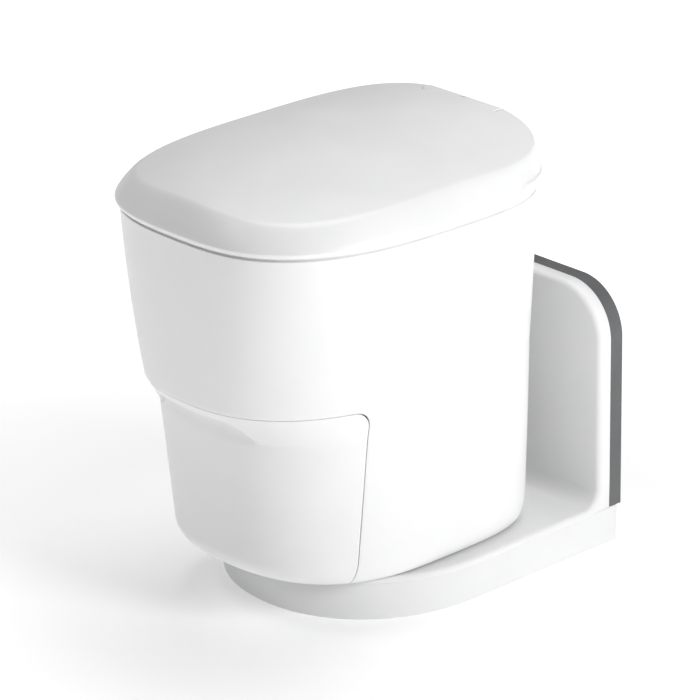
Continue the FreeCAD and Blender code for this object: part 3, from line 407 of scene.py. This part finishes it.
def buildDrawerFront():
    # rows run from the seam down the band to the lip's edge, in under the lip, down behind it and
    # on down the face; outside the scoop the middle stretch shrinks to nothing
    b, d = bodyShape, drawerShape
    top, bandFoot = b["seam"] - b["seamGap"], b["seam"] - b["bandHeight"]
    faceTop, tuckTop = bandFoot - d["faceBelow"], b["foot"] + b["tuckHeight"]
    v = np.linspace(-1, 1, d["columns"])[None, :]
    sideways = np.sign(v) * np.abs(v) ** d["crowding"]
    lipLevel = np.full((1, 1), d["lipLevel"])
    lipZ = scoopLine(bodyRing(lipLevel, splitAngle(lipLevel, b["seamGap"]) * sideways)[0])
    edge = b["lipEdge"]
    inScoop = np.clip((lipZ - bandFoot) / (3 * edge), 0, 1)
    share = np.sin(np.linspace(0, np.pi / 2, 16))[:, None]
    bandZ = top + (np.minimum(lipZ + edge * inScoop, top - 1) - top) * (1 - share[::-1])
    lipIn = bandPull(lipZ)
    turn = np.linspace(0, np.pi / 2, 5)[1:, None]              # rounded lip edge
    turnZ = lipZ + edge * inScoop * (1 - np.sin(turn))
    turnIn = bandPull(lipZ + edge * inScoop) + edge * inScoop * (1 - np.cos(turn))
    under = np.linspace(0, 1, 6)[1:, None]                     # in under the lip
    underZ = lipZ + d["lipThick"] * inScoop * under
    underIn = mix(turnIn[-1:], np.maximum(b["bandIn"] + d["lipBehind"], lipIn), under)
    underIn = underIn * inScoop + lipIn * (1 - inScoop)
    down = np.linspace(0, 1, 9)[1:, None]                      # down behind it to the face
    downZ = mix(underZ[-1:], 0 * lipZ + faceTop, down)
    downIn = mix(underIn[-1:], bandPull(0 * lipZ + faceTop), down)
    downIn = downIn * inScoop + bandPull(downZ) * (1 - inScoop)
    faceZ = np.concatenate([
        np.linspace(faceTop, tuckTop, 26)[1:],
        b["foot"] + b["tuckHeight"] * (1 - np.sin(np.linspace(0, np.pi / 2, 16)[1:]))])
    faceZ = np.maximum(faceZ, b["foot"] + 1)[:, None] + 0 * lipZ
    z = np.concatenate([bandZ, turnZ, underZ, downZ, faceZ], 0)
    pull = np.concatenate([bandPull(bandZ), turnIn, underIn, downIn, bandPull(faceZ)], 0)
    x, y = bodyRing(z, splitAngle(z, b["seamGap"]) * sideways, pull)
    points = np.stack([x, y, z], -1).reshape(-1, 3)
    obj = meshPiece("drawer_skin", points, gridFaces(*z.shape)[:, ::-1], "whiteShell",
                    "drawer", ("drawer_front",), smoothAngle=35, sheet=True)
    thicken(obj, b["wall"] - d["wallLess"], b["edge"], angle=60, smoothAngle=38, even=False)
    return obj


lidShape = {
    "ring": (194.9, -316.5, 149.0, 2.95, 3.28), "foot": 489.1, "edge": 494.0,
    "leanDepth": 24.0, "leanRise": 31.0, "leanPower": 1.25,
    "leanNose": 0.9, "leanRear": 0.04, "leanCorner": 0.8,
    "crest": 547.4, "sideFall": 20.7, "sideX": 165.0, "noseFall": 26.0, "nosePower": 4.5,
    "noseY": 145.0, "soft": 5.0, "wall": 3.5, "lipRound": 1.2,
    "rampFrom": 28.0, "rampTo": 62.0, "rampRise": 13.5,
    "rimLean": 0.8, "rimLeast": 1.0, "leanEnd": 62.0, "leanCrowding": 1.5, "middleY": -70.0,
    "hingeY": 138.0, "hingeZ": 530.0, "notch": 61.5, "notchRadius": 17.7, "edgeRound": 0.5,
    # room cut out round the seat's ears and the pin's eyes, as distances from the pin
    "cutNear": 60.0, "cutFar": 70.0, "cutAhead": 16.0, "earHalf": 73.0, "earTop": 5.0,
    "eyeHalf": 82.0, "eyeBack": 6.4, "eyeTop": 9.5,
}


def lidOutline(angle, inset, depth=0.0):
    # drawn in by depth at the sides and nose, and by less of it towards the rear corners
    lid = lidShape
    half, nose, rear, square, rearSquare = lid["ring"]
    nose = nose + inset + depth * lid["leanNose"]
    rear = rear - inset - depth * lid["leanRear"]
    x, y = outline(angle, half - inset, nose, rear, bodyShape["mid"], square, rearSquare)
    back = np.maximum((y - bodyShape["mid"]) / (rear - bodyShape["mid"]), 0)
    return x * (1 - depth * (1 - lid["leanCorner"] * back ** 2) / half), y


def lidCrown(x, y):
    # height of the top: it falls away to the sides, and over to the nose
    lid = lidShape
    ahead = np.maximum(lid["noseY"] - y, 0) / (lid["noseY"] - lid["ring"][1])
    toSide, toNose = (x / lid["sideX"]) ** 2, ahead ** lid["nosePower"]
    return lid["crest"] - lid["sideFall"] * toSide - lid["noseFall"] * toNose


def fullTurn(quarter):
    # angles all the way round, evenly spaced along the outline
    u = ease(np.linspace(0, 1, quarter + 1))[:-1] * np.pi / 2
    return np.concatenate([u + k * np.pi / 2 for k in range(4)])[None, :]


def lidSurface(angle, inset, drop):
    # one face of the lid's wall, from its lower edge to the middle of its top: an upright rim, a
    # side that leans in ever more, a soft edge where it meets the crown, then the crown
    lid = lidShape
    climb = (lidOutline(angle, 0)[1] - lid["rampFrom"]) / (lid["rampTo"] - lid["rampFrom"])
    foot = lid["foot"] + lid["rampRise"] * np.clip(climb, 0, 1)
    foot = foot + (lid["lipRound"] if inset == 0 else 0)
    rim = np.linspace(0, 1, 6)[:, None]
    rimX, rimY = lidOutline(angle, inset + lid["rimLean"] * (1 - rim))
    edge = np.maximum(lid["edge"], foot + lid["rimLeast"])
    start = lid["leanDepth"] * ((edge - lid["edge"]) / lid["leanRise"]) ** lid["leanPower"]
    steps = np.linspace(0, 1, 58)[1:, None] ** lid["leanCrowding"]
    depth = start + (lid["leanEnd"] - start) * steps
    leanX, leanY = lidOutline(angle, inset, depth)
    lean = lid["edge"] + lid["leanRise"] * (depth / lid["leanDepth"]) ** (1 / lid["leanPower"])
    leanZ = smoothMin(lean, lidCrown(leanX, leanY) - drop, lid["soft"])
    shrink = np.linspace(1, 0, 24)[1:, None]
    topX, topY = leanX[-1:] * shrink, lid["middleY"] + (leanY[-1:] - lid["middleY"]) * shrink
    x = np.concatenate([rimX, leanX, topX])
    y = np.concatenate([rimY, leanY, topY])
    z = np.concatenate([mix(foot, edge, rim), leanZ, lidCrown(topX, topY) - drop])
    return np.stack([x, y, z], -1)


def buildLid():
    # inner and outer faces joined by a rounded lip, with room cut out for the hinge
    lid = lidShape
    angle = fullTurn(56)
    outer = lidSurface(angle, 0.0, 0.0)
    inner = lidSurface(angle, lid["wall"], lid["wall"])
    lip = np.concatenate([mix(inner[:1], outer[:1], t) for t in (0.3, 0.7)])
    lip[:, :, 2] = outer[:1, :, 2] - lid["lipRound"]
    surface = np.concatenate([inner[::-1], lip, outer])
    rows, cols = surface.shape[:2]
    obj = meshPiece("lid_skin", surface.reshape(-1, 3), gridFaces(rows, cols, True), "whiteShell",
                    "lid", ("lid_shell",))
    notch, radius = lid["notch"], lid["notchRadius"]
    y, z = lid["hingeY"], lid["hingeZ"]
    barrel, faces = turned([(-notch, 0), (-notch, radius), (notch, radius), (notch, 0)])
    near, far, ahead = lid["cutNear"], lid["cutFar"], y - lid["cutAhead"]
    carve(obj, [bareObject("barrelRoom", barrel + np.array([0, y, z]), faces),
                blockCutter((-notch, y + 0.01, z - near), (notch, y + near, z + near)),
                blockCutter((-lid["earHalf"], ahead, z - far),
                            (lid["earHalf"], y + far, z + lid["earTop"])),
                blockCutter((-lid["eyeHalf"], ahead, z - far),
                            (lid["eyeHalf"], y + lid["eyeBack"], z + lid["eyeTop"]))])
    rounding(obj, lid["edgeRound"], 55)
    applyModifiers(obj)
    shadeSmooth(obj.data, 35)
    return obj


seatShape = {
    # ring: half width, nose, rear, squareness in front and behind; hole: half width, nose, rear,
    # middle, squareness
    "ring": (183.0, -305.0, 104.0, 2.95, 3.28), "hole": (104.0, -240.0, 42.0, -98.0, 2.2),
    "foot": 492.0, "top": 512.0, "sectionPower": 0.42, "topLean": 3.2,
}


def buildSeat():
    # closed band between the seat's outline and its hole; its section is a superellipse whose top
    # leans down a little towards the hole
    s = seatShape
    angle = fullTurn(48)
    half, nose, rear, square, rearSquare = s["ring"]
    outerX, outerY = outline(angle, half, nose, rear, bodyShape["mid"], square, rearSquare)
    half, nose, rear, mid, square = s["hole"]
    innerX, innerY = outline(angle, half, nose, rear, mid, square, square)
    turn = np.linspace(0, 2 * np.pi, 40, endpoint=False)[:, None]
    across = 0.5 - 0.5 * np.sign(np.cos(turn)) * np.abs(np.cos(turn)) ** s["sectionPower"]
    lift = np.sign(np.sin(turn)) * np.abs(np.sin(turn)) ** s["sectionPower"]
    middle, tall = (s["top"] + s["foot"]) / 2, (s["top"] - s["foot"]) / 2
    z = middle + tall * lift - np.where(lift > 0, s["topLean"] * across ** 2, 0) * lift
    x = mix(outerX, innerX, across)
    y = mix(outerY, innerY, across)
    ring = np.stack([x, y, z + 0 * x], -1)
    ring = np.concatenate([ring, ring[:1]])
    obj = meshPiece("seat_skin", ring.reshape(-1, 3), gridFaces(len(ring), ring.shape[1], True),
                    "whiteSeat", "seat", ("seat_ring",))
    return obj


earShape = {
    "sides": (63.2, 71.0), "eyeRadius": 5.5, "rootY": 92.0, "rootFoot": 496.0, "rootTop": 509.0,
    "edge": 0.9,
}


def buildSeatEars():
    # two flat ears from the seat's rear up to the pin, with rounded eyes
    e, lid = earShape, lidShape
    for side, name in ((1, "right"), (-1, "left")):
        turn = np.linspace(-0.5 * np.pi, 0.62 * np.pi, 20)
        eyeY = lid["hingeY"] + e["eyeRadius"] * np.cos(turn)
        eyeZ = lid["hingeZ"] + e["eyeRadius"] * np.sin(turn)
        rimY = np.concatenate([[e["rootY"]], eyeY, [e["rootY"]]])
        rimZ = np.concatenate([[e["rootFoot"]], eyeZ, [e["rootTop"]]])
        x = np.array(e["sides"]) * side
        ring = np.stack([np.repeat(x, len(rimY)), np.tile(rimY, 2), np.tile(rimZ, 2)], -1)
        n = len(rimY)
        faces = [[k, (k + 1) % n, n + (k + 1) % n, n + k] for k in range(n)]
        faces += [list(range(n))[::-1], list(range(n, 2 * n))]
        ear = meshPiece("seat_ear_" + name, ring, faces, "whiteSeat", "seat")
        rounding(ear, e["edge"], 40, 3)
        applyModifiers(ear)
        shadeSmooth(ear.data, 40)


barrelShape = {
    "radius": 16.8, "endRound": 1.6, "gap": 0.4, "gapStep": 0.5, "length": 60.0,
    "stemY": (122.0, 139.0), "stemZ": (499.2, 524.0), "stemEdge": 0.6,
}


def buildHingeBarrels():
    # a turned barrel either side of the middle, with a square stem down to the deck
    h, lid = barrelShape, lidShape
    r, edge, step = h["radius"], h["endRound"], h["gapStep"]
    for side, name in ((1, "right"), (-1, "left")):
        turn = np.linspace(0, np.pi / 2, 6)
        start = [(h["gap"] + step * (1 - math.sin(t)), r - step * (1 - math.sin(t))) for t in turn]
        end = [(h["length"] - edge + edge * math.sin(t), r - edge + edge * math.cos(t)) for t in turn]
        points, faces = turned([(start[0][0], 0)] + start + end + [(end[-1][0], 0)])
        points = points * np.array([side, 1, 1]) + np.array([0, lid["hingeY"], lid["hingeZ"]])
        meshPiece("hinge_barrel_" + name, points, faces, "whiteShell", "housing",
                  ("hinge_block_" + name, "damper_" + name))
        stem = np.array([h["gap"], h["length"]]) * side
        foot = blockCutter((min(stem), h["stemY"][0], h["stemZ"][0]),
                           (max(stem), h["stemY"][1], h["stemZ"][1]))
        foot.name = "hinge_stem_" + name
        foot.data.materials.append(materials["whiteShell"])
        rounding(foot, h["stemEdge"], 40)
        applyModifiers(foot)
        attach(foot, "housing")


plinthShape = {
    "half": 171.0, "nose": -188.4, "square": 2.11, "seam": 46.7, "footTop": 54.0,
    "footRound": 4.5, "panelFront": 209.0, "panelBack": 228.1, "wall": 247.8,
    "panelTop": 325.8, "corner": 66.0, "draft": math.tan(math.radians(1.3)),
    "panelRound": 7.5, "cove": 22.0, "swivelHole": 133.0, "skirtRear": 239.8, "wallHole": 2.75,
    "panelInset": 1.4, "sideBlend": 20.0, "coverInset": 0.6, "coverEdge": 0.08,
    "holeFoot": 30.0, "holeTop": 60.0, "spacerMiddle": 180.0, "boreX": 110.0, "boreZ": (90.0, 250.0),
    "boreOver": 5.0, "skirtInset": 0.7, "skirtWall": 4.0,
    "skirtFoot": ((0.0, 1.0), (0.6, 0.3), (1.4, 0.0)),         # height and inset, from the floor up
    "skirtTop": ((1.2, 0.0), (0.5, 0.3), (0.15, 0.9)),         # the same, down from the seam
}


def deeOutline(inset, rear, count=70):
    # half of the plinth's plan from the nose to the rear corner: a round nose, then a straight side
    p = plinthShape
    angle = np.linspace(0, np.pi / 2, count)
    x = (p["half"] - inset) * np.sin(angle) ** (2 / p["square"])
    y = (p["nose"] + inset) * np.maximum(np.cos(angle), 0) ** (2 / p["square"])
    tail = np.linspace(0, rear, 30)[1:]
    return np.concatenate([x, 0 * tail + p["half"] - inset]), np.concatenate([y, tail])


def buildSkirt():
    # a closed wall: up the outside with its edges rounded, then down the inside
    p = plinthShape
    levels = list(p["skirtFoot"]) + [(p["seam"] - drop, inset) for drop, inset in p["skirtTop"]]
    levels += [(levels[-1][0], p["skirtWall"]), (0.0, p["skirtWall"])]
    rings = []
    for z, inset in levels:
        x, y = deeOutline(p["skirtInset"] + inset, p["skirtRear"] - inset)
        x = np.concatenate([x, -x[::-1][:-1]])
        y = np.concatenate([y, y[::-1][:-1]])
        rings.append(np.stack([x, y, 0 * x + z], -1))
    surface = np.array(rings + rings[:1])
    return meshPiece("skirt_skin", surface.reshape(-1, 3),
                     gridFaces(len(surface), surface.shape[1], True), "whitePlinth", "plinth",
                     ("plinth_skirt",))


def panelSide(z):
    # half width of the panel's drafted side at height z, before its corner is rounded
    p = plinthShape
    rise = np.minimum(z, p["panelTop"] - p["corner"]) - p["seam"]
    return p["half"] - p["panelInset"] - rise * p["draft"]


def roundCorner(side, z, corner):
    # draws a side in along a quarter circle from where the panel's top corner starts
    rise = np.clip(z - (plinthShape["panelTop"] - plinthShape["corner"]), 0, corner)
    return side - corner + np.sqrt(np.maximum(corner ** 2 - rise ** 2, 0))


def sheetPath(s):
    # place and outward normal on the moulding's face at a distance s from the swivel axis along
    # its middle line: level foot, quarter-round cove, upright panel; then the place behind it on
    # the moulding's square back
    p = plinthShape
    flat, cove = p["panelFront"] - p["cove"], p["cove"]
    turn = np.clip((s - flat) / cove, 0, np.pi / 2)
    up = np.maximum(s - flat - cove * np.pi / 2, 0)
    y = np.minimum(s, flat) + cove * np.sin(turn)
    z = p["footTop"] + cove * (1 - np.cos(turn)) + up
    half = turn * 4 / np.pi
    backY = np.where(half < 1, mix(np.minimum(s, flat), p["panelBack"], half), p["panelBack"])
    backZ = np.where(half < 1, p["seam"], mix(p["seam"], z, half - 1))
    return y, z, -np.sin(turn), np.cos(turn), backY, backZ


def sheetHalf(s, inset):
    # half width at s: round nose, straight foot, drafted panel side, round top corner
    p = plinthShape
    z = sheetPath(s)[1]
    reach = np.minimum(np.abs(np.minimum(s, 0) / (p["nose"] + inset)), 1)
    nose = (p["half"] - inset) * (1 - reach ** p["square"]) ** (1 / p["square"])
    blend = np.clip((s - (p["panelFront"] - p["cove"])) / p["sideBlend"], 0, 1)
    side = mix(p["half"], panelSide(z), blend) - inset
    return np.where(s < 0, nose, roundCorner(side, z, p["corner"] - inset))


def buildCover():
    # the L-shaped moulding: stations run from the nose along the foot, round the cove and up the
    # panel; the border turns over into a wall all the way round, and lines across join its two
    # sides on the face and on the back
    p = plinthShape
    flat, arc = p["panelFront"] - p["cove"], p["cove"] * np.pi / 2
    reach = flat + arc + p["panelTop"] - p["footTop"] - p["cove"]
    nose = p["nose"]
    s = np.concatenate([
        nose * np.cos(np.linspace(0, np.pi / 2, 60)),
        np.linspace(0, flat, 30)[1:], np.linspace(flat, flat + arc, 17)[1:],
        np.linspace(flat + arc, reach - p["corner"], 20)[1:],
        reach - p["corner"] + p["corner"] * np.sin(np.linspace(0, np.pi / 2, 26))[1:]])
    border = mix(p["footRound"], p["panelRound"], smoothStep(s, flat, flat + arc))
    across = np.linspace(1, -1, 33)
    turns = np.linspace(0, np.pi / 2, 8)

    def station(inset, depth, behind=False):
        # the right-hand edge, in from the border by inset and down from the face by depth
        shift = np.clip(s, nose + inset, reach - inset)
        y, z, ny, nz, backY, backZ = sheetPath(shift)
        half = sheetHalf(shift, inset)
        y, z = (backY, backZ) if behind else (y - ny * depth, z - nz * depth)
        return np.stack([half, y, z], -1)

    def hoop(ring):
        # right side, then across the top, then the left side
        top = ring[-1] * np.array([1, 0, 0]) * across[1:-1, None] + ring[-1] * np.array([0, 1, 1])
        return np.concatenate([ring, top, (ring * np.array([-1, 1, 1]))[::-1]])

    def fill(ring):
        # straight lines across from each place on the right side to its twin on the left
        sideways = (ring[:, 0] * across[:, None])[:, :, None] * np.array([1, 0, 0])
        return (ring[None] * np.array([0, 1, 1]) + sideways).transpose(1, 0, 2)

    rings = [station(p["coverInset"], 0, True),
             mix(station(0, 0, True), station(0, border), p["coverEdge"])]
    rings += [station(border * (1 - np.sin(t)), border * (1 - np.cos(t))) for t in turns[::-1]]
    wall = np.array([hoop(r) for r in rings])
    face, back = fill(rings[-1]), fill(rings[0])
    parts, faces, start = [], [], 0
    for grid, flip in ((wall, False), (face, True), (back, False)):
        rows, cols = grid.shape[:2]
        cells = gridFaces(rows, cols)[:, ::-1] if flip else gridFaces(rows, cols)
        parts.append(grid.reshape(-1, 3))
        faces += (cells + start).tolist()
        start += rows * cols
    obj = meshPiece("cover_skin", np.concatenate(parts), faces, "whitePlinth", "plinth",
                    ("adapter_cover",), smoothAngle=40)
    foot, top, radius = p["holeFoot"], p["holeTop"], p["swivelHole"]
    hole, faces = turned([(foot, 0), (foot, radius), (top, radius), (top, 0)])
    carve(obj, [bareObject("swivelRoom", hole[:, [1, 2, 0]], faces)])
    return obj


def buildSpacer():
    # dark plate behind the panel: its outline is the panel's, carried back to the wall, with each
    # ring drawn in by a share of its size to make the end faces and the rounded rims
    p = plinthShape
    start = p["panelTop"] - p["corner"]
    z = np.concatenate([np.linspace(p["seam"], start, 12),
                        start + p["corner"] * np.sin(np.linspace(0, np.pi / 2, 30))[1:]])
    half = roundCorner(panelSide(z), z, p["corner"])
    x = np.concatenate([half, -half[::-1]])
    z = np.concatenate([z, z[::-1]])
    front, back = p["panelBack"], p["wall"]
    steps = ((front, 0.06), (front, 0.0), (front + 0.4, 0.0),
             (back - 0.6, 0.0), (back, 0.004), (back, 0.06))
    surface = np.array([np.stack([x * (1 - shrink), 0 * x + y, mix(z, p["spacerMiddle"], shrink)], -1)
                        for y, shrink in steps])
    rows, cols = surface.shape[:2]
    faces = gridFaces(rows, cols, True).tolist()
    faces += [list(range(cols))[::-1], list(range((rows - 1) * cols, rows * cols))]
    obj = meshPiece("spacer_skin", surface.reshape(-1, 3), faces, "greySpacer", "plinth",
                    ("wall_spacer",), smoothAngle=40)
    ahead, behind, radius = front - p["boreOver"], back + p["boreOver"], p["wallHole"]
    bore, faces = turned([(ahead, 0), (ahead, radius), (behind, radius), (behind, 0)], 24)
    carve(obj, [bareObject("wallHole", bore[:, [1, 0, 2]] + np.array([side, 0, height]), faces)
                for side in (-p["boreX"], p["boreX"]) for height in p["boreZ"]])
    return obj


# parts shown as packed take the finish of their own slot
for node, obj in frame["nodes"].items():
    slotName = next(p["material_slot"] for p in frame["record"]["subparts"] if p["node"] == node)
    obj.data.materials.clear()
    obj.data.materials.append(materials[slotFinish[slotName]])

buildHousing()
print("housing done")
buildDrawerFront()
print("drawer front done")
buildLid()
print("lid done")
buildSeat()
buildSeatEars()
buildHingeBarrels()
print("seat and hinge done")
buildSkirt()
buildCover()
buildSpacer()
print("plinth done")


view = {
    "azimuth": 46.945, "elevation": 22.308, "aim": (-89.0, 40.6, 226.2), "distance": 4578.4,
    "lens": 195.5, "sensor": 36, "farthest": 50,
}


def addCamera():
    azimuth, elevation = math.radians(view["azimuth"]), math.radians(view["elevation"])
    level = math.cos(elevation)
    away = Vector((math.sin(azimuth) * level, -math.cos(azimuth) * level, math.sin(elevation)))
    data = bpy.data.cameras.new("camera")
    data.lens = view["lens"]
    data.sensor_width = view["sensor"]
    data.clip_end = view["farthest"]
    camera = bpy.data.objects.new("camera", data)
    camera.location = (Vector(view["aim"]) + away * view["distance"]) * mm
    camera.rotation_euler = (-away).to_track_quat("-Z", "Y").to_euler()
    bpy.context.scene.collection.objects.link(camera)
    bpy.context.scene.camera = camera


lights = {
    # name: place, size, power, all in metres and watts
    "key": ((2.7, 0.5, 1.5), 1.2, 46),
    "fill": ((-0.9, -1.9, 2.9), 0.9, 12),
    "top": ((-0.3, 0.5, 2.8), 1.8, 32),
}


studio = {
    # places in metres; the floor glows more from one distance to another, to look like a sweep
    "lampAim": (0, -0.05, 0.25), "world": 0.12, "floorHalf": 14, "floorGrey": 0.93,
    "glowFrom": 0.4, "glowTo": 1.3, "glowLow": 0.32, "glowHigh": 0.8,
}


def addLights():
    for name, (place, size, power) in lights.items():
        data = bpy.data.lights.new(name, "AREA")
        data.shape = "DISK"
        data.size = size
        data.energy = power
        lamp = bpy.data.objects.new(name, data)
        lamp.location = place
        ray = Vector(studio["lampAim"]) - Vector(place)
        lamp.rotation_euler = ray.to_track_quat("-Z", "Y").to_euler()
        bpy.context.scene.collection.objects.link(lamp)
    world = bpy.data.worlds.new("studio")
    world.use_nodes = True
    sky = world.node_tree.nodes["Background"]
    sky.inputs["Color"].default_value = (1, 1, 1, 1)
    sky.inputs["Strength"].default_value = studio["world"]
    bpy.context.scene.world = world
    bpy.context.scene.view_settings.view_transform = "Standard"


def addFloor():
    size, grey = studio["floorHalf"], studio["floorGrey"]
    corners = [(-size, -size, 0), (size, -size, 0), (size, size, 0), (-size, size, 0)]
    mesh = bpy.data.meshes.new("floor")
    mesh.from_pydata(corners, [], [(0, 1, 2, 3)])
    floor = bpy.data.objects.new("floor", mesh)
    bpy.context.scene.collection.objects.link(floor)
    mat, tree, shader, coords = newMaterial("paleFloor", (grey, grey, grey), 0.9)
    tree.links.new(spread(tree, noiseNode(tree, coords, 2), 0.85, 0.95), shader.inputs["Roughness"])
    shader.inputs["Emission Color"].default_value = (1, 1, 1, 1)
    away = tree.nodes.new("ShaderNodeVectorMath")
    away.operation = "LENGTH"
    glow = tree.nodes.new("ShaderNodeMapRange")
    for socket, name in (("From Min", "glowFrom"), ("From Max", "glowTo"), ("To Min", "glowLow"),
                         ("To Max", "glowHigh")):
        glow.inputs[socket].default_value = studio[name]
    tree.links.new(coords.outputs["Object"], away.inputs[0])
    tree.links.new(away.outputs["Value"], glow.inputs["Value"])
    tree.links.new(glow.outputs["Result"], shader.inputs["Emission Strength"])
    mesh.materials.append(mat)


addCamera()
addLights()
addFloor()
print("scene ready")
